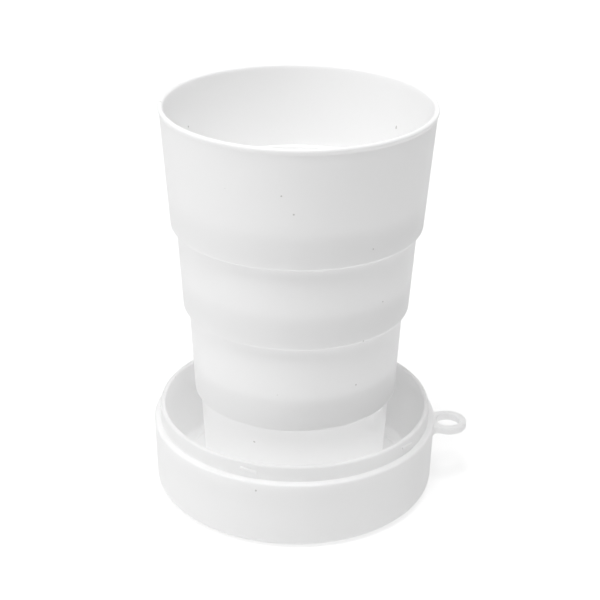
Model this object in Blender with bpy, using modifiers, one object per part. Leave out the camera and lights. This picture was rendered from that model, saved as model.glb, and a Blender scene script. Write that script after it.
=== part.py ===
"""Collapsible travel cup: three telescoping rings on a fixed bottom cup, standing in the
storage tray that the rings fold down into. Metres, +Z up.

The origin is the middle of the tray's foot, on the surface that the cup stands on. The cup is
modelled open. Each ring slides straight down over its neighbour, along Z, until every lip stands
just above the tray's floor.
"""

import math

import bmesh
import bpy
from mathutils import Matrix

# ---- driving dimensions: the cup -------------------------------------------------------------
RIM_RADIUS = 0.0340            # outside of the drinking rim, the widest point of the cup
RIM_BEAD = 0.00025             # how far the rim stands out from the wall below it
RIM_BEAD_HEIGHT = 0.0015
RIM_ROUND = 0.00055
WALL = 0.0012                  # wall of the rings and of the bottom cup
EDGE_ROUND = 0.00040           # rounding of the hidden top edges
LIP_ROUND = 0.00045            # rounding of the outside of each ring's lip, its bottom edge

TOP_RING_HEIGHT = 0.03055
MIDDLE_RING_HEIGHT = 0.0312
LOWER_RING_HEIGHT = 0.0329
BOTTOM_CUP_HEIGHT = 0.03465

TOP_RING_TAPER = 0.0752        # radius lost for each unit of height
MIDDLE_RING_TAPER = 0.062
LOWER_RING_TAPER = 0.051
BOTTOM_CUP_TAPER = 0.054

OVERLAP = 0.0092               # how far each top edge reaches up inside the ring above
WEDGE_GAP = 0.0002             # between a ring's lip and the wall that it grips when open

CUP_FLOOR = 0.0015
CUP_FLOOR_FILLET = 0.0030      # inside corner between the bottom cup's floor and wall
CUP_FOOT_ROUND = 0.0008        # outside corner at the bottom cup's foot
CUP_FOOT_WIDTH = 0.0040        # foot of the bottom cup, around the tray's spigot

# ---- driving dimensions: the storage tray ----------------------------------------------------
TRAY_HEIGHT = 0.0229           # foot to the neck's top edge
TRAY_FLOOR = 0.0020
TRAY_CORNER = 0.0028           # rounding around the tray's foot
TRAY_DRAW = 0.0005             # how much the side draws in between the ledge and the foot
SEAT_GAP = 0.0003              # between the tray's floor and what stands on it
WELL_STEP = 0.0003             # how far the middle of the floor is sunk
WELL_STEP_RADIUS = 0.0302
SPIGOT_HEIGHT = 0.0012         # the round boss that the bottom cup is pressed over
SPIGOT_GAP = 0.0003
WELL_CLEARANCE = 0.0010        # between the folded top ring and the inside of the neck
WELL_TAPER = 0.0002            # how much narrower the well is at its floor
WELL_FILLET = 0.0010
NECK_WALL = 0.0012
NECK_HEIGHT = 0.0042           # ledge to the neck's top edge
LEDGE_WIDTH = 0.0017           # the ledge around the foot of the neck
LEDGE_ROUND = 0.0005

LUG_COUNT = 5                  # short sloping ridges around the neck, which hold a lid
LUG_FIRST_ANGLE = -108.4       # degrees around Z from +X
LUG_LENGTH = 0.0044
LUG_HEIGHT = 0.0008
LUG_PROUD = 0.00045
LUG_SINK = 0.0006              # how deep a lug is rooted in the neck
LUG_SLOPE = 8                  # degrees

EYELET_OUT = 0.0038            # from the tray's side out to the middle of the hole, along +X
EYELET_HOLE_RADIUS = 0.0030
EYELET_RIM_WIDTH = 0.0019
EYELET_THICKNESS = 0.0020
EYELET_DROP = 0.0020           # from the ledge down to the eyelet's top face
EYELET_FILLET = 0.0016         # where the eyelet meets the tray's side

TURN_STEPS = 60
EYELET_STEPS = 32
ARC_STEPS = 3
SMOOTH_BELOW = 32              # degrees between faces that are shaded as one surface
MERGE_DISTANCE = 0.00001

# ---- worked out: heights ---------------------------------------------------------------------
SUNK_FLOOR_Z = TRAY_FLOOR - WELL_STEP
LEDGE_Z = TRAY_HEIGHT - NECK_HEIGHT
EYELET_TOP_Z = LEDGE_Z - EYELET_DROP
FOLDED_LIP_Z = TRAY_FLOOR + SEAT_GAP          # every lip, when the cup is folded

BOTTOM_CUP_Z = SUNK_FLOOR_Z + SEAT_GAP
BOTTOM_CUP_TOP = BOTTOM_CUP_Z + BOTTOM_CUP_HEIGHT
LOWER_LIP_Z = BOTTOM_CUP_TOP - OVERLAP
LOWER_TOP = LOWER_LIP_Z + LOWER_RING_HEIGHT
MIDDLE_LIP_Z = LOWER_TOP - OVERLAP
MIDDLE_TOP = MIDDLE_LIP_Z + MIDDLE_RING_HEIGHT
TOP_LIP_Z = MIDDLE_TOP - OVERLAP
RIM_Z = TOP_LIP_Z + TOP_RING_HEIGHT

# ---- worked out: outer radii at each ring's lip, and of the wall that each lip grips ---------
TOP_LIP = RIM_RADIUS - RIM_BEAD - TOP_RING_TAPER * TOP_RING_HEIGHT
MIDDLE_WALL = TOP_LIP - WALL - WEDGE_GAP
MIDDLE_LIP = MIDDLE_WALL - MIDDLE_RING_TAPER * (TOP_LIP_Z - MIDDLE_LIP_Z)
LOWER_WALL = MIDDLE_LIP - WALL - WEDGE_GAP
LOWER_LIP = LOWER_WALL - LOWER_RING_TAPER * (MIDDLE_LIP_Z - LOWER_LIP_Z)
BOTTOM_WALL = LOWER_LIP - WALL - WEDGE_GAP
BOTTOM_FOOT = BOTTOM_WALL - BOTTOM_CUP_TAPER * (LOWER_LIP_Z - BOTTOM_CUP_Z)

FOLDED_WALL = TOP_LIP + TOP_RING_TAPER * (TRAY_HEIGHT - FOLDED_LIP_Z)
WELL_RADIUS = FOLDED_WALL + WELL_CLEARANCE
NECK_RADIUS = WELL_RADIUS + NECK_WALL
TRAY_RADIUS = NECK_RADIUS + LEDGE_WIDTH
SPIGOT_RADIUS = BOTTOM_FOOT - CUP_FOOT_WIDTH - SPIGOT_GAP
EYELET_REACH = TRAY_RADIUS + EYELET_OUT
EYELET_RADIUS = EYELET_HOLE_RADIUS + EYELET_RIM_WIDTH


# ---- profiles, as points (radius, height) ----------------------------------------------------
def arc(centre_x, centre_y, radius, start, end, steps=ARC_STEPS):
    """Points along an arc, with its angles in degrees."""
    points = []
    for i in range(steps + 1):
        angle = math.radians(start + (end - start) * i / steps)
        points.append((centre_x + radius * math.cos(angle), centre_y + radius * math.sin(angle)))
    return points


def top_edge(outside, top_z, rounding):
    """The rounded top of a wall, in two halves: from the crest outwards, and up to the crest."""
    centre_z = top_z - rounding
    outer = arc(outside - rounding, centre_z, rounding, 90, 0)
    inner = arc(outside - WALL + rounding, centre_z, rounding, 180, 90)
    return outer, inner


def lip(outside, lip_z, taper):
    """A ring's bottom edge: rounded outside, flat below, and square to the gripping inside."""
    centre_z = lip_z + LIP_ROUND
    points = arc(outside + taper * LIP_ROUND - LIP_ROUND, centre_z, LIP_ROUND, 0, -90)
    points.append((outside - WALL, lip_z))
    return points


def ring_profile(lip_radius, lip_z, taper, height):
    """A straight tapering ring with a rounded hidden top edge."""
    top = lip_radius + taper * height
    outer, inner = top_edge(top, lip_z + height, EDGE_ROUND)
    return outer + lip(lip_radius, lip_z, taper) + inner


def top_ring_profile():
    """The top ring, whose rim has a low bead around its outside."""
    outer, inner = top_edge(RIM_RADIUS, RIM_Z, RIM_ROUND)
    wall_at_rim = RIM_RADIUS - RIM_BEAD
    bead_foot = wall_at_rim - TOP_RING_TAPER * RIM_BEAD_HEIGHT
    outer.append((RIM_RADIUS, RIM_Z - RIM_BEAD_HEIGHT / 2))
    outer.append((bead_foot, RIM_Z - RIM_BEAD_HEIGHT))
    inside = (bead_foot - WALL, RIM_Z - RIM_BEAD_HEIGHT)
    return outer + lip(TOP_LIP, TOP_LIP_Z, TOP_RING_TAPER) + [inside] + inner


def bottom_cup_profile():
    floor_z = BOTTOM_CUP_Z + SPIGOT_HEIGHT + CUP_FLOOR
    foot_inside = BOTTOM_FOOT - CUP_FOOT_WIDTH
    corner_z = floor_z + CUP_FLOOR_FILLET
    wall_inside = BOTTOM_FOOT + BOTTOM_CUP_TAPER * (corner_z - BOTTOM_CUP_Z) - WALL
    top = BOTTOM_WALL + BOTTOM_CUP_TAPER * OVERLAP
    outer, inner = top_edge(top, BOTTOM_CUP_TOP, EDGE_ROUND)
    foot_z = BOTTOM_CUP_Z + CUP_FOOT_ROUND

    points = [(0, floor_z)]
    points += arc(wall_inside - CUP_FLOOR_FILLET, corner_z, CUP_FLOOR_FILLET, -90, 0)
    points += inner + outer[1:]
    points += arc(BOTTOM_FOOT - CUP_FOOT_ROUND, foot_z, CUP_FOOT_ROUND, 0, -90)
    points.append((foot_inside, BOTTOM_CUP_Z))
    points.append((foot_inside, BOTTOM_CUP_Z + SPIGOT_HEIGHT))
    points.append((0, BOTTOM_CUP_Z + SPIGOT_HEIGHT))
    return points


def tray_profile():
    spigot_z = SUNK_FLOOR_Z + SPIGOT_HEIGHT
    well_foot = WELL_RADIUS - WELL_TAPER
    edge = NECK_WALL / 2
    foot_radius = TRAY_RADIUS - TRAY_DRAW
    foot_outside = foot_radius - TRAY_CORNER

    points = [(0, spigot_z), (SPIGOT_RADIUS, spigot_z), (SPIGOT_RADIUS, SUNK_FLOOR_Z)]
    points += [(WELL_STEP_RADIUS, SUNK_FLOOR_Z), (WELL_STEP_RADIUS + WELL_STEP, TRAY_FLOOR)]
    points += arc(well_foot - WELL_FILLET, TRAY_FLOOR + WELL_FILLET, WELL_FILLET, -90, 0)
    points += arc(WELL_RADIUS + edge, TRAY_HEIGHT - edge, edge, 180, 0, 2 * ARC_STEPS)
    points.append((NECK_RADIUS, LEDGE_Z))
    points += arc(TRAY_RADIUS - LEDGE_ROUND, LEDGE_Z - LEDGE_ROUND, LEDGE_ROUND, 90, 0)
    points += arc(foot_outside, TRAY_CORNER, TRAY_CORNER, 0, -90)
    points.append((0, 0))
    return points


def eyelet_outline():
    """The eyelet seen from above: a round end blended into the tray's side by two fillets."""
    to_tray = TRAY_RADIUS + EYELET_FILLET
    to_hole = EYELET_RADIUS + EYELET_FILLET
    fillet_x = (to_tray**2 - to_hole**2 + EYELET_REACH**2) / (2 * EYELET_REACH)
    fillet_y = math.sqrt(to_tray**2 - fillet_x**2)
    at_tray = math.degrees(math.atan2(fillet_y, fillet_x))
    at_hole = math.degrees(math.atan2(fillet_y, fillet_x - EYELET_REACH))
    root_radius = (WELL_RADIUS + TRAY_RADIUS) / 2
    root = arc(0, 0, root_radius, at_tray, at_tray, 1)[:1]

    upper = root + arc(fillet_x, fillet_y, EYELET_FILLET, at_tray - 180, at_hole - 180)
    around = arc(EYELET_REACH, 0, EYELET_RADIUS, at_hole, -at_hole, EYELET_STEPS)
    lower = [(x, -y) for x, y in reversed(upper)]
    return upper[:-1] + around + lower[1:]


# ---- making solids ---------------------------------------------------------------------------
def clear_scene():
    for obj in list(bpy.data.objects):
        bpy.data.objects.remove(obj)


def new_collection(name):
    collection = bpy.data.collections.new(name)
    bpy.context.scene.collection.children.link(collection)
    return collection


def white_plastic(name, brightness, roughness):
    material = bpy.data.materials.new(name)
    material.use_nodes = True
    shader = material.node_tree.nodes["Principled BSDF"]
    shader.inputs["Base Color"].default_value = (brightness, brightness, brightness, 1)
    shader.inputs["Roughness"].default_value = roughness
    shader.inputs["Metallic"].default_value = 0
    return material


def evaluated_mesh(obj):
    depsgraph = bpy.context.evaluated_depsgraph_get()
    return bpy.data.meshes.new_from_object(obj.evaluated_get(depsgraph), depsgraph=depsgraph)


def settle(obj):
    """Makes the modifiers' result the object's own mesh, shaded smooth apart from its edges."""
    mesh = evaluated_mesh(obj)
    obj.modifiers.clear()
    obj.data = mesh
    mesh.shade_smooth()
    mesh.set_sharp_from_angle(angle=math.radians(SMOOTH_BELOW))


def turned(name, profile, collection, material):
    """A profile turned about Z. One that starts and ends on the axis is left open there."""
    mesh = bpy.data.meshes.new(name)
    edges = [(i, i + 1) for i in range(len(profile) - 1)]
    if profile[0][0] > 0:
        edges.append((len(profile) - 1, 0))
    mesh.from_pydata([(radius, 0, z) for radius, z in profile], edges, [])
    mesh.materials.append(material)
    obj = bpy.data.objects.new(name, mesh)
    collection.objects.link(obj)
    screw = obj.modifiers.new("turn", "SCREW")
    screw.axis = "Z"
    screw.angle = math.radians(360)
    screw.steps = TURN_STEPS
    screw.render_steps = TURN_STEPS
    screw.use_merge_vertices = True
    screw.merge_threshold = MERGE_DISTANCE
    return obj


def tool(name, mesh, collection):
    """A solid that is only joined to a part, and isn't one itself."""
    obj = bpy.data.objects.new(name, mesh)
    obj.hide_render = True
    obj.display_type = "WIRE"
    collection.objects.link(obj)
    return obj


def join(obj, other):
    boolean = obj.modifiers.new("join_" + other.name, "BOOLEAN")
    boolean.operation = "UNION"
    boolean.solver = "EXACT"
    boolean.object = other


def lug(name, angle, collection):
    """One sloping ridge, rooted in the neck's outer face half way up."""
    depth = LUG_SINK + LUG_PROUD
    middle = NECK_RADIUS + (LUG_PROUD - LUG_SINK) / 2
    place = Matrix.Rotation(math.radians(angle), 4, "Z")
    place @= Matrix.Translation((middle, 0, LEDGE_Z + NECK_HEIGHT / 2))
    place @= Matrix.Rotation(-math.radians(LUG_SLOPE), 4, "X")
    shape = bmesh.new()
    bmesh.ops.create_cube(shape, size=1)
    bmesh.ops.scale(shape, vec=(depth, LUG_LENGTH, LUG_HEIGHT), verts=shape.verts)
    bmesh.ops.transform(shape, matrix=place, verts=shape.verts)
    mesh = bpy.data.meshes.new(name)
    shape.to_mesh(mesh)
    shape.free()
    return tool(name, mesh, collection)


def add_outline(curve, points):
    spline = curve.splines.new("POLY")
    spline.points.add(len(points) - 1)
    for point, (x, y) in zip(spline.points, points):
        point.co = (x, y, 0, 1)
    spline.use_cyclic_u = True


def eyelet(name, collection):
    """The flat eyelet with its hole, as a welded mesh."""
    curve = bpy.data.curves.new(name + "_outline", "CURVE")
    curve.dimensions = "2D"
    curve.fill_mode = "BOTH"
    curve.extrude = EYELET_THICKNESS / 2
    add_outline(curve, eyelet_outline())
    add_outline(curve, arc(EYELET_REACH, 0, EYELET_HOLE_RADIUS, 0, 360, EYELET_STEPS)[:-1])
    flat = bpy.data.objects.new(name + "_outline", curve)
    flat.location.z = EYELET_TOP_Z - EYELET_THICKNESS / 2
    collection.objects.link(flat)
    bpy.context.view_layer.update()
    mesh = evaluated_mesh(flat)
    mesh.name = name
    shape = bmesh.new()
    shape.from_mesh(mesh)
    bmesh.ops.remove_doubles(shape, verts=shape.verts, dist=MERGE_DISTANCE)
    bmesh.ops.recalc_face_normals(shape, faces=shape.faces)
    shape.to_mesh(mesh)
    shape.free()
    solid = tool(name, mesh, collection)
    solid.matrix_world = flat.matrix_world.copy()
    bpy.data.objects.remove(flat)
    return solid


def main():
    clear_scene()
    parts = new_collection("collapsible_travel_cup")
    tools = new_collection("joined_shapes")
    case_white = white_plastic("case_white", 0.88, 0.34)

    tray = turned("storage_tray", tray_profile(), parts, case_white)
    for i in range(LUG_COUNT):
        join(tray, lug(f"lug_{i + 1}", LUG_FIRST_ANGLE + 360 / LUG_COUNT * i, tools))
    join(tray, eyelet("eyelet", tools))
    settle(tray)

    cup_pieces = {
        "bottom_cup": bottom_cup_profile(),
        "lower_ring": ring_profile(LOWER_LIP, LOWER_LIP_Z, LOWER_RING_TAPER, LOWER_RING_HEIGHT),
        "middle_ring": ring_profile(
            MIDDLE_LIP, MIDDLE_LIP_Z, MIDDLE_RING_TAPER, MIDDLE_RING_HEIGHT
        ),
        "top_ring": top_ring_profile(),
    }
    for name, profile in cup_pieces.items():
        material = white_plastic(name + "_white", 0.88, 0.30)
        settle(turned(name, profile, parts, material))


main()
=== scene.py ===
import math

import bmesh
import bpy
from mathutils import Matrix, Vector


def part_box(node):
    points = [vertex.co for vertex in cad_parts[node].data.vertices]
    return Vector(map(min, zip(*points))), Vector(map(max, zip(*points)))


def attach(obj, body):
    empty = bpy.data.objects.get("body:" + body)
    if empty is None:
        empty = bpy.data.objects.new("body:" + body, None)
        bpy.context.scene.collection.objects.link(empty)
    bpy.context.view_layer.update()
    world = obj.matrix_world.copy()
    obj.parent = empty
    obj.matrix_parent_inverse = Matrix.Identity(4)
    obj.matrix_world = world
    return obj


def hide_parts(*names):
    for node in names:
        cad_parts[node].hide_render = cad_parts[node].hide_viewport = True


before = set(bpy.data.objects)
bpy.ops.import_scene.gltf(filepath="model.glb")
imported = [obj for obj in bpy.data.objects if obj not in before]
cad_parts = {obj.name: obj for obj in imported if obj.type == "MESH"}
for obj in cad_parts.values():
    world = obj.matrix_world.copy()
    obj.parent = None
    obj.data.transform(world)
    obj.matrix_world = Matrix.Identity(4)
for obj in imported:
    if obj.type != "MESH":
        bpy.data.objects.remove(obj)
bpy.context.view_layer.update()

# A telescoping travel cup of white moulded plastic, open, standing in its storage tray.
# Metres, +Z up. Each visible piece is a finer copy of the frame's node of the same name,
# built where that node's box says, and it rides on that node's body. A round piece's radius
# is its box's highest Y, because the eyelet makes the tray's box longer along X.

# ---- the cup: sizes in metres, tapers in radius per height -----------------------------------
WALL = 0.0012
OVERLAP = 0.0092
HIDDEN_EDGE = 0.00040
LIP_EDGE = 0.00045
CRISP_EDGE = 0.00008
RIM_BEAD = 0.00025
RIM_BEAD_HEIGHT = 0.0015
RIM_ROUND = 0.00055
TOP_RING_TAPER = 0.0752
MIDDLE_RING_TAPER = 0.062
LOWER_RING_TAPER = 0.051
BOTTOM_CUP_TAPER = 0.054
CUP_FLOOR_OVER_FOOT = 0.0027
CUP_FLOOR_FILLET = 0.0030
CUP_FOOT_EDGE = 0.0008
CUP_FOOT_WIDTH = 0.0040
SPIGOT_HEIGHT = 0.0012

# ---- the storage tray: sizes in metres, angles in degrees ------------------------------------
TRAY_FLOOR = 0.0020
TRAY_CORNER = 0.0028
TRAY_DRAW = 0.0005
WELL_STEP = 0.0003
WELL_STEP_RADIUS = 0.0302
SPIGOT_GAP = 0.0003
WELL_TAPER = 0.0002
WELL_FILLET = 0.0010
NECK_WALL = 0.0012
NECK_ROUND = NECK_WALL / 2 - 0.00002
NECK_HEIGHT = 0.0042
LEDGE_WIDTH = 0.0017
LEDGE_ROUND = 0.0005
LUG_COUNT = 5
LUG_FIRST_ANGLE = -108.4
LUG_LENGTH = 0.0044
LUG_HEIGHT = 0.0008
LUG_PROUD = 0.00032
LUG_SINK = 0.0006
LUG_ROUND = 0.00032
LUG_SLOPE = 8
EYELET_RADIUS = 0.0049
EYELET_HOLE_RADIUS = 0.0030
EYELET_THICKNESS = 0.0020
EYELET_DROP = 0.0020
EYELET_FILLET = 0.0016
EYELET_EDGE = 0.00035
EYELET_SINK = 0.0013

# ---- how finely the pieces are made ----------------------------------------------------------
TURN_STEPS = 240
EDGE_STEPS = 5
SOFT_EDGE_STEPS = 4
EYELET_FILLET_STEPS = 10
EYELET_ROUND_STEPS = 72
EYELET_HOLE_STEPS = 64
SAME_POINT = 0.000004
ON_AXIS = 0.000001
SHARP_ABOVE = math.radians(32)
BEVEL_ABOVE = math.radians(40)
FLAT_BELOW = math.radians(1)
EVEN_SHADING_WEIGHT = 100


# ---- making meshes ---------------------------------------------------------------------------
def shade_evenly(mesh):
    """Smooth over rounds and broad faces, sharp where two faces meet at an edge."""
    mesh.shade_smooth()
    mesh.set_sharp_from_angle(angle=SHARP_ABOVE)


def finish_mesh(name, shape):
    """The bmesh as an object at the origin, merged, closed and facing outwards."""
    bmesh.ops.remove_doubles(shape, verts=shape.verts, dist=SAME_POINT)
    bmesh.ops.recalc_face_normals(shape, faces=shape.faces)
    mesh = bpy.data.meshes.new(name)
    shape.to_mesh(mesh)
    shape.free()
    shade_evenly(mesh)
    piece = bpy.data.objects.new(name, mesh)
    bpy.context.scene.collection.objects.link(piece)
    return piece


def turned(name, corners):
    """A section turned about Z. Each corner is (radius, height, rounding)."""
    shape = bmesh.new()
    points = [shape.verts.new((radius, 0, z)) for radius, z, _ in corners]
    shape.faces.new(points)
    for point, (_, _, rounding) in zip(points, corners):
        if rounding:
            bmesh.ops.bevel(
                shape,
                geom=[point],
                offset=rounding,
                offset_type="OFFSET",
                segments=EDGE_STEPS,
                profile=0.5,
                affect="VERTICES",
                material=-1,
            )
    bmesh.ops.delete(shape, geom=list(shape.faces), context="FACES_ONLY")
    on_axis = [e for e in shape.edges if max(abs(v.co.x) for v in e.verts) < ON_AXIS]
    bmesh.ops.delete(shape, geom=on_axis, context="EDGES")
    bmesh.ops.spin(
        shape,
        geom=list(shape.verts) + list(shape.edges),
        cent=(0, 0, 0),
        axis=(0, 0, 1),
        angle=math.radians(360),
        steps=TURN_STEPS,
        use_merge=True,
    )
    return finish_mesh(name, shape)


def bevel_all(shape, width):
    """Rounds every edge of a solid where two faces turn well away from each other."""
    edges = [e for e in shape.edges if e.calc_face_angle(0) > BEVEL_ABOVE]
    bmesh.ops.bevel(
        shape,
        geom=edges,
        offset=width,
        offset_type="OFFSET",
        segments=SOFT_EDGE_STEPS,
        profile=0.5,
        affect="EDGES",
        material=-1,
    )


def swept(shape, start, centre, degrees, steps):
    """Draws an arc from a vertex around a centre, and gives the arc's last vertex."""
    made = bmesh.ops.spin(
        shape,
        geom=[start],
        cent=centre,
        axis=(0, 0, 1),
        angle=math.radians(degrees),
        steps=steps,
    )
    return next(v for v in made["geom_last"] if isinstance(v, bmesh.types.BMVert))


def join_into(piece, other):
    """Fuses another solid into a piece, and removes it."""
    fuse = piece.modifiers.new("fuse", "BOOLEAN")
    fuse.operation = "UNION"
    fuse.solver = "EXACT"
    fuse.object = other
    depsgraph = bpy.context.evaluated_depsgraph_get()
    mesh = bpy.data.meshes.new_from_object(piece.evaluated_get(depsgraph), depsgraph=depsgraph)
    piece.modifiers.clear()
    piece.data = mesh
    bpy.data.objects.remove(other)


def settle_on(piece, body, node):
    """The piece stands for its node, rides on its body, and shades evenly over broad faces."""
    even = piece.modifiers.new("even_shading", "WEIGHTED_NORMAL")
    even.mode = "FACE_AREA"
    even.weight = EVEN_SHADING_WEIGHT
    even.keep_sharp = True
    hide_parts(node)
    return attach(piece, body)


# ---- the cup's pieces ------------------------------------------------------------------------
def cup_piece(name, body, corners, plastic):
    """A turned piece of the cup, in its own plastic."""
    piece = turned(name + "_moulding", corners)
    piece.data.materials.append(plastic)
    return settle_on(piece, body, name)


def ring_plastic(name):
    """A ring's plastic, with painted shade on its colour from the lip up to where the ring inside
    ends.
    """
    lip_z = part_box(name)[0].z
    return white_plastic(name + "_white", RING_LIGHT_DEPTH, lip_z + OVERLAP)


def ring(name, taper):
    """A tapering ring: rounded hidden top edge, small rounded lip at its foot."""
    low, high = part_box(name)
    top = high.y
    foot = top - taper * (high.z - low.z)
    corners = [
        (top, high.z, HIDDEN_EDGE),
        (foot, low.z, LIP_EDGE),
        (foot - WALL, low.z, CRISP_EDGE),
        (top - WALL, high.z, HIDDEN_EDGE),
    ]
    return cup_piece(name, name, corners, ring_plastic(name))


def top_ring():
    """The top ring, with a low bead around the outside of its drinking rim."""
    low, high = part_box("top_ring")
    rim = high.y
    foot = rim - RIM_BEAD - TOP_RING_TAPER * (high.z - low.z)
    under_bead = rim - RIM_BEAD - TOP_RING_TAPER * RIM_BEAD_HEIGHT
    bead_z = high.z - RIM_BEAD_HEIGHT
    corners = [
        (rim, high.z, RIM_ROUND),
        (rim, high.z - RIM_BEAD_HEIGHT / 2, CRISP_EDGE),
        (under_bead, bead_z, CRISP_EDGE),
        (foot, low.z, LIP_EDGE),
        (foot - WALL, low.z, CRISP_EDGE),
        (under_bead - WALL, bead_z, 0),
        (rim - WALL, high.z, RIM_ROUND),
    ]
    return cup_piece("top_ring", "top_ring", corners, ring_plastic("top_ring"))


def cup_foot():
    """The outer radius of the bottom cup's foot."""
    low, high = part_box("bottom_cup")
    return high.y - BOTTOM_CUP_TAPER * (high.z - low.z)


def bottom_cup():
    """The bottom cup: a bowl with a filleted floor, standing on a skirt around the spigot."""
    low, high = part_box("bottom_cup")
    top = high.y
    foot = cup_foot()
    floor_z = low.z + CUP_FLOOR_OVER_FOOT
    skirt = foot - CUP_FOOT_WIDTH
    corners = [
        (0, floor_z, 0),
        (foot + BOTTOM_CUP_TAPER * CUP_FLOOR_OVER_FOOT - WALL, floor_z, CUP_FLOOR_FILLET),
        (top - WALL, high.z, HIDDEN_EDGE),
        (top, high.z, HIDDEN_EDGE),
        (foot, low.z, CUP_FOOT_EDGE),
        (skirt, low.z, CRISP_EDGE),
        (skirt, low.z + SPIGOT_HEIGHT, CRISP_EDGE),
        (0, low.z + SPIGOT_HEIGHT, 0),
    ]
    plastic = white_plastic("bottom_cup_white", BASE_LIGHT_DEPTH)
    return cup_piece("bottom_cup", "tray", corners, plastic)


# ---- the tray's piece ------------------------------------------------------------------------
def tray_body():
    """The tray without its lugs and eyelet: foot, side, ledge, neck, well and spigot."""
    low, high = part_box("storage_tray")
    side = high.y
    neck = side - LEDGE_WIDTH
    well = neck - NECK_WALL
    ledge_z = high.z - NECK_HEIGHT
    sunk_z = TRAY_FLOOR - WELL_STEP
    spigot = cup_foot() - CUP_FOOT_WIDTH - SPIGOT_GAP
    corners = [
        (0, sunk_z + SPIGOT_HEIGHT, 0),
        (spigot, sunk_z + SPIGOT_HEIGHT, 2 * CRISP_EDGE),
        (spigot, sunk_z, CRISP_EDGE),
        (WELL_STEP_RADIUS, sunk_z, CRISP_EDGE),
        (WELL_STEP_RADIUS + WELL_STEP, TRAY_FLOOR, CRISP_EDGE),
        (well - WELL_TAPER, TRAY_FLOOR, WELL_FILLET),
        (well, high.z, NECK_ROUND),
        (neck, high.z, NECK_ROUND),
        (neck, ledge_z, 2 * CRISP_EDGE),
        (side, ledge_z, LEDGE_ROUND),
        (side - TRAY_DRAW, low.z, TRAY_CORNER),
        (0, low.z, 0),
    ]
    return turned("storage_tray_moulding", corners)


def lug(angle):
    """One short ridge with softened edges, sloping like a screw thread, rooted in the neck."""
    _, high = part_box("storage_tray")
    neck = high.y - LEDGE_WIDTH
    middle = Vector((neck + (LUG_PROUD - LUG_SINK) / 2, 0, high.z - NECK_HEIGHT / 2))
    place = Matrix.Rotation(math.radians(angle), 4, "Z")
    place @= Matrix.Translation(middle)
    place @= Matrix.Rotation(-math.radians(LUG_SLOPE), 4, "X")
    shape = bmesh.new()
    bmesh.ops.create_cube(shape, size=1)
    bmesh.ops.scale(shape, vec=(LUG_PROUD + LUG_SINK, LUG_LENGTH, LUG_HEIGHT), verts=shape.verts)
    bevel_all(shape, LUG_ROUND)
    bmesh.ops.transform(shape, matrix=place, verts=shape.verts)
    return finish_mesh("lug", shape)


def eyelet():
    """The flat eyelet: a round end with a hole, blended into the tray's side by two fillets.
    Its outline is drawn at its top face, from the tray round the end and back."""
    _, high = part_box("storage_tray")
    side = high.y
    reach = high.x - EYELET_RADIUS
    to_tray = side + EYELET_FILLET
    to_hole = EYELET_RADIUS + EYELET_FILLET
    fillet_x = (to_tray**2 - to_hole**2 + reach**2) / (2 * reach)
    fillet_y = math.sqrt(to_tray**2 - fillet_x**2)
    at_tray = math.atan2(fillet_y, fillet_x)
    at_hole = math.atan2(fillet_y, fillet_x - reach)
    root = side - EYELET_SINK
    top_z = high.z - NECK_HEIGHT - EYELET_DROP

    shape = bmesh.new()
    upper_root = shape.verts.new((root * math.cos(at_tray), root * math.sin(at_tray), top_z))
    start = shape.verts.new((side * math.cos(at_tray), side * math.sin(at_tray), top_z))
    shape.edges.new((upper_root, start))
    turn = math.degrees(at_hole - at_tray)
    around = -2 * math.degrees(at_hole)
    point = swept(shape, start, (fillet_x, fillet_y, top_z), turn, EYELET_FILLET_STEPS)
    point = swept(shape, point, (reach, 0, top_z), around, EYELET_ROUND_STEPS)
    point = swept(shape, point, (fillet_x, -fillet_y, top_z), turn, EYELET_FILLET_STEPS)
    lower_root = shape.verts.new((upper_root.co.x, -upper_root.co.y, top_z))
    shape.edges.new((point, lower_root))
    shape.edges.new((lower_root, upper_root))
    hole = Matrix.Translation((reach, 0, top_z))
    bmesh.ops.create_circle(
        shape, segments=EYELET_HOLE_STEPS, radius=EYELET_HOLE_RADIUS, matrix=hole
    )
    bmesh.ops.remove_doubles(shape, verts=shape.verts, dist=SAME_POINT)
    bmesh.ops.triangle_fill(shape, use_beauty=True, edges=list(shape.edges))
    bmesh.ops.dissolve_limit(
        shape,
        angle_limit=FLAT_BELOW,
        verts=list(shape.verts),
        edges=[e for e in shape.edges if not e.is_boundary],
    )
    made = bmesh.ops.extrude_face_region(shape, geom=list(shape.faces))
    lifted = [v for v in made["geom"] if isinstance(v, bmesh.types.BMVert)]
    bmesh.ops.translate(shape, vec=(0, 0, -EYELET_THICKNESS), verts=lifted)
    bmesh.ops.recalc_face_normals(shape, faces=shape.faces)
    bevel_all(shape, EYELET_EDGE)
    return finish_mesh("eyelet", shape)


def storage_tray():
    """The whole tray, as one solid."""
    piece = tray_body()
    for i in range(LUG_COUNT):
        join_into(piece, lug(LUG_FIRST_ANGLE + 360 / LUG_COUNT * i))
    join_into(piece, eyelet())
    shade_evenly(piece.data)
    piece.data.materials.clear()
    piece.data.materials.append(white_plastic("storage_tray_white", BASE_LIGHT_DEPTH))
    return settle_on(piece, "tray", "storage_tray")


# ---- the plastic: depths in metres, each noise as (scale per metre, detail) ------------------
WHITE = (0.965, 0.965, 0.965, 1)
WHITE_SHADE = (0.950, 0.950, 0.950, 1)
CLOUD_NOISE = (45, 3)
CLOUD_FROM = 0.3
CLOUD_TO = 0.7

# Painted shade: a ring's colour is this much darker from its lip up to where the ring inside ends.
PAINTED_SHADE = 0.994
PAINTED_SHADE_FADE_BELOW = 0.0008
PAINTED_SHADE_FADE_ABOVE = 0.0006

SPECK = (0.42, 0.41, 0.39, 1)
SPECK_NOISE = (700, 0)
SPECK_FROM = 0.885
SPECK_TO = 0.90
SPECK_STRENGTH = 0.8

GLOSS_NOISE = (160, 3)
SMOOTHEST = 0.34
ROUGHEST = 0.54
PLASTIC_IOR = 1.49
SPECULAR_LEVEL = 0.3

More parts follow.
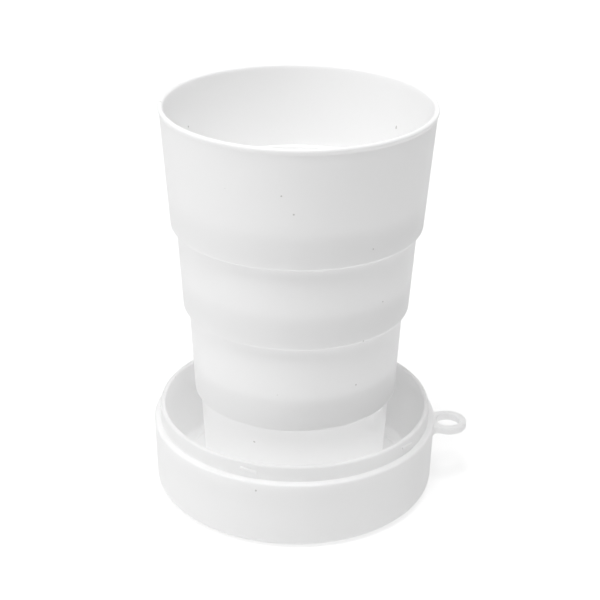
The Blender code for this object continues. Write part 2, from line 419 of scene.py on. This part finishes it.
LIGHT_SCATTER = 0.8
RING_LIGHT_DEPTH = 0.0013
BASE_LIGHT_DEPTH = 0.0080

FLOW_STRETCH = 0.08
FLOW_NOISE = (900, 2)
FLOW_SHARE = 0.5
GRAIN_NOISE = (2600, 2)
GRAIN_SHARE = 0.5
TEXTURE_STRENGTH = 0.06
TEXTURE_DEPTH = 0.0002


class Nodes:
    """A material's node tree, with short ways to add and join nodes."""

    def __init__(self, name):
        self.material = bpy.data.materials.new(name)
        self.material.use_nodes = True
        self.tree = self.material.node_tree
        self.shader = self.tree.nodes["Principled BSDF"]

    def add(self, kind, **values):
        node = self.tree.nodes.new(kind)
        for key, value in values.items():
            setattr(node, key, value)
        return node

    def link(self, source, target):
        self.tree.links.new(source, target)

    def noise(self, place, scale, detail):
        node = self.add("ShaderNodeTexNoise")
        node.inputs["Scale"].default_value = scale
        node.inputs["Detail"].default_value = detail
        self.link(place, node.inputs["Vector"])
        return node.outputs["Fac"]

    def between(self, value, low, high, to_low, to_high, smooth=False):
        """The value's place from low to high, as a place from to_low to to_high."""
        node = self.add("ShaderNodeMapRange", clamp=True)
        node.interpolation_type = "SMOOTHSTEP" if smooth else "LINEAR"
        node.inputs["From Min"].default_value = low
        node.inputs["From Max"].default_value = high
        node.inputs["To Min"].default_value = to_low
        node.inputs["To Max"].default_value = to_high
        self.link(value, node.inputs["Value"])
        return node.outputs["Result"]

    def fill(self, sockets, values):
        """Gives each socket its value, or joins it to the socket that its value comes from."""
        for socket, value in zip(sockets, values):
            if isinstance(value, (int, float, tuple)):
                socket.default_value = value
            else:
                self.link(value, socket)

    def math(self, operation, first, second):
        node = self.add("ShaderNodeMath", operation=operation)
        self.fill(node.inputs, (first, second))
        return node.outputs[0]

    def mix(self, factor, first, second, blend="MIX"):
        node = self.add("ShaderNodeMix", data_type="RGBA", blend_type=blend)
        colour_sockets = (node.inputs[0], node.inputs[6], node.inputs[7])
        self.fill(colour_sockets, (factor, first, second))
        return node.outputs[2]


def white_plastic(name, light_depth, painted_shade_top=None):
    """Satin white polypropylene: faint cloudiness, rare dark specks, fine moulded texture.
    It lets in light to light_depth. Below the top height it is given, where another ring
    stands close inside this one, its colour carries a little painted shade of the double wall."""
    n = Nodes(name)
    place = n.add("ShaderNodeTexCoord").outputs["Object"]

    cloud = n.between(n.noise(place, *CLOUD_NOISE), CLOUD_FROM, CLOUD_TO, 0, 1)
    colour = n.mix(cloud, WHITE, WHITE_SHADE)
    if painted_shade_top is not None:
        # painted shade where the ring inside stands behind this one
        colour = n.mix(1.0, colour, painted_shade_band(n, place, painted_shade_top), "MULTIPLY")
    speck = n.noise(place, *SPECK_NOISE)
    speck = n.between(speck, SPECK_FROM, SPECK_TO, 0, SPECK_STRENGTH)
    n.link(n.mix(speck, colour, SPECK), n.shader.inputs["Base Color"])

    gloss = n.noise(place, *GLOSS_NOISE)
    n.link(n.between(gloss, 0, 1, SMOOTHEST, ROUGHEST), n.shader.inputs["Roughness"])
    n.shader.inputs["IOR"].default_value = PLASTIC_IOR
    n.shader.inputs["Specular IOR Level"].default_value = SPECULAR_LEVEL
    n.shader.inputs["Subsurface Weight"].default_value = LIGHT_SCATTER
    n.shader.inputs["Subsurface Radius"].default_value = (1, 1, 1)
    n.shader.inputs["Subsurface Scale"].default_value = light_depth

    n.link(moulded_texture(n, place), n.shader.inputs["Normal"])
    return n.material


def painted_shade_band(n, place, painted_shade_top):
    """Painted shade: grey below the given top height and white above it, with a soft change
    between them.
    """
    axes = n.add("ShaderNodeSeparateXYZ")
    n.link(place, axes.inputs["Vector"])
    fade_from = painted_shade_top - PAINTED_SHADE_FADE_BELOW
    fade_to = painted_shade_top + PAINTED_SHADE_FADE_ABOVE
    shade = n.between(axes.outputs["Z"], fade_from, fade_to, PAINTED_SHADE, 1, smooth=True)
    grey = n.add("ShaderNodeCombineXYZ")
    for axis in "XYZ":
        n.link(shade, grey.inputs[axis])
    return grey.outputs["Vector"]


def moulded_texture(n, place):
    """A fine grain over faint waves, which are drawn out along Z as the plastic flowed."""
    flow = n.add("ShaderNodeMapping")
    flow.inputs["Scale"].default_value = (1, 1, FLOW_STRETCH)
    n.link(place, flow.inputs["Vector"])
    waves = n.math("MULTIPLY", n.noise(flow.outputs["Vector"], *FLOW_NOISE), FLOW_SHARE)
    grain = n.math("MULTIPLY", n.noise(place, *GRAIN_NOISE), GRAIN_SHARE)
    bump = n.add("ShaderNodeBump")
    bump.inputs["Strength"].default_value = TEXTURE_STRENGTH
    bump.inputs["Distance"].default_value = TEXTURE_DEPTH
    n.link(n.math("ADD", waves, grain), bump.inputs["Height"])
    return bump.outputs["Normal"]


storage_tray()
bottom_cup()
ring("lower_ring", LOWER_RING_TAPER)
ring("middle_ring", MIDDLE_RING_TAPER)
top_ring()


# ---- the pale floor --------------------------------------------------------------------------
FLOOR_WIDTH = 8.0
FLOOR_WHITE = (0.59, 0.59, 0.59, 1)
FLOOR_SHADE = (0.57, 0.57, 0.57, 1)
FLOOR_NOISE = (6, 2)
FLOOR_ROUGHNESS = 0.75
FLOOR_GLOW = 0.56
FLOOR_BOUNCE = 0.32
FLOOR_NEAR = 0.20
FLOOR_FAR = 0.80


def pale_floor():
    """A matt floor that glows a little near the cup and turns white further away. It gives
    back FLOOR_BOUNCE of light to the cup, however bright it looks itself."""
    shape = bmesh.new()
    bmesh.ops.create_grid(shape, x_segments=1, y_segments=1, size=FLOOR_WIDTH / 2)
    floor = finish_mesh("floor", shape)
    n = Nodes("pale_floor")
    place = n.add("ShaderNodeTexCoord").outputs["Object"]
    cloud = n.noise(place, *FLOOR_NOISE)
    n.link(n.mix(cloud, FLOOR_SHADE, FLOOR_WHITE), n.shader.inputs["Base Color"])
    n.shader.inputs["Roughness"].default_value = FLOOR_ROUGHNESS
    n.shader.inputs["Emission Color"].default_value = (1, 1, 1, 1)
    away = n.add("ShaderNodeVectorMath", operation="LENGTH")
    n.link(place, away.inputs[0])
    added = n.between(
        away.outputs["Value"],
        FLOOR_NEAR,
        FLOOR_FAR,
        FLOOR_GLOW - FLOOR_BOUNCE,
        1 - FLOOR_BOUNCE,
    )
    seen = n.add("ShaderNodeLightPath").outputs["Is Camera Ray"]
    glow = n.math("ADD", n.math("MULTIPLY", seen, added), FLOOR_BOUNCE)
    n.link(glow, n.shader.inputs["Emission Strength"])
    floor.data.materials.append(n.material)


# ---- light -----------------------------------------------------------------------------------
# Degrees around from the front towards +X, degrees above the cup, metres away, metres wide, watts.
SOFTBOXES = {
    "overhead": (0, 90, 0.9, 0.9, 4.9),
    "high_front": (-18, 74, 1.0, 0.4, 5.3),
    "high_left": (-75, 45, 1.0, 0.5, 1.5),
    "low_left": (-75, 14, 1.0, 0.5, 1.6),
    "low_back_right": (150, 14, 1.0, 0.5, 1.4),
}
LIT_POINT = Vector((0, 0, 0.05))
ROOM_LIGHT = 0.02
SOFT_TONES = 1.4
LIGHT_BOUNCES = 20
DIFFUSE_BOUNCES = 14


def soft_light(name, around, height, distance, width, watts):
    """A square softbox that faces the middle of the cup."""
    across = math.radians(around)
    up = math.radians(height)
    towards = Vector(
        (math.sin(across) * math.cos(up), -math.cos(across) * math.cos(up), math.sin(up))
    )
    lamp = bpy.data.lights.new(name, "AREA")
    lamp.shape = "SQUARE"
    lamp.size = width
    lamp.energy = watts
    holder = bpy.data.objects.new(name, lamp)
    holder.location = LIT_POINT + towards * distance
    holder.rotation_euler = (-towards).to_track_quat("-Z", "Y").to_euler()
    bpy.context.scene.collection.objects.link(holder)


def white_room():
    """A room that looks white and gives almost no light of its own."""
    world = bpy.data.worlds.new("white_room")
    world.use_nodes = True
    tree = world.node_tree
    background = tree.nodes["Background"]
    background.inputs["Color"].default_value = (1, 1, 1, 1)
    seen = tree.nodes.new("ShaderNodeLightPath")
    wall = tree.nodes.new("ShaderNodeMapRange")
    wall.inputs["To Min"].default_value = ROOM_LIGHT
    wall.inputs["To Max"].default_value = 1.0
    tree.links.new(seen.outputs["Is Camera Ray"], wall.inputs["Value"])
    tree.links.new(wall.outputs["Result"], background.inputs["Strength"])
    bpy.context.scene.world = world


def studio():
    """The room, its softboxes, and enough bounces for light to fill a white cup."""
    scene = bpy.context.scene
    white_room()
    for name, settings in SOFTBOXES.items():
        soft_light(name, *settings)
    scene.cycles.max_bounces = LIGHT_BOUNCES
    scene.cycles.diffuse_bounces = DIFFUSE_BOUNCES
    scene.view_settings.view_transform = "Standard"
    scene.view_settings.gamma = SOFT_TONES


# ---- camera ----------------------------------------------------------------------------------
LENS = 89.856
SENSOR_WIDTH = 36
CLIP_START = 0.01
CLIP_END = 20
CAMERA_DISTANCE = 0.38301
CAMERA_ELEVATION = math.radians(25.262)
CAMERA_YAW = math.radians(0.150)
CAMERA_ROLL = math.radians(0.747)
CAMERA_AIM_Z = 0.05116


def camera():
    """Above and in front of the cup, looking down at its axis, turned and rolled a little."""
    lens = bpy.data.cameras.new("camera")
    lens.lens = LENS
    lens.sensor_width = SENSOR_WIDTH
    lens.clip_start = CLIP_START
    lens.clip_end = CLIP_END
    view = bpy.data.objects.new("camera", lens)
    bpy.context.scene.collection.objects.link(view)
    ahead = Vector((0, math.cos(CAMERA_ELEVATION), -math.sin(CAMERA_ELEVATION)))
    place = Vector((0, 0, CAMERA_AIM_Z)) - ahead * CAMERA_DISTANCE
    right = Vector((1, 0, 0))
    up = right.cross(ahead)
    ahead, right = (
        math.cos(CAMERA_YAW) * ahead + math.sin(CAMERA_YAW) * right,
        math.cos(CAMERA_YAW) * right - math.sin(CAMERA_YAW) * ahead,
    )
    right, up = (
        math.cos(CAMERA_ROLL) * right + math.sin(CAMERA_ROLL) * up,
        math.cos(CAMERA_ROLL) * up - math.sin(CAMERA_ROLL) * right,
    )
    turn = Matrix((right, up, -ahead)).transposed()
    view.matrix_world = Matrix.Translation(place) @ turn.to_4x4()
    bpy.context.scene.camera = view


pale_floor()
studio()
camera()
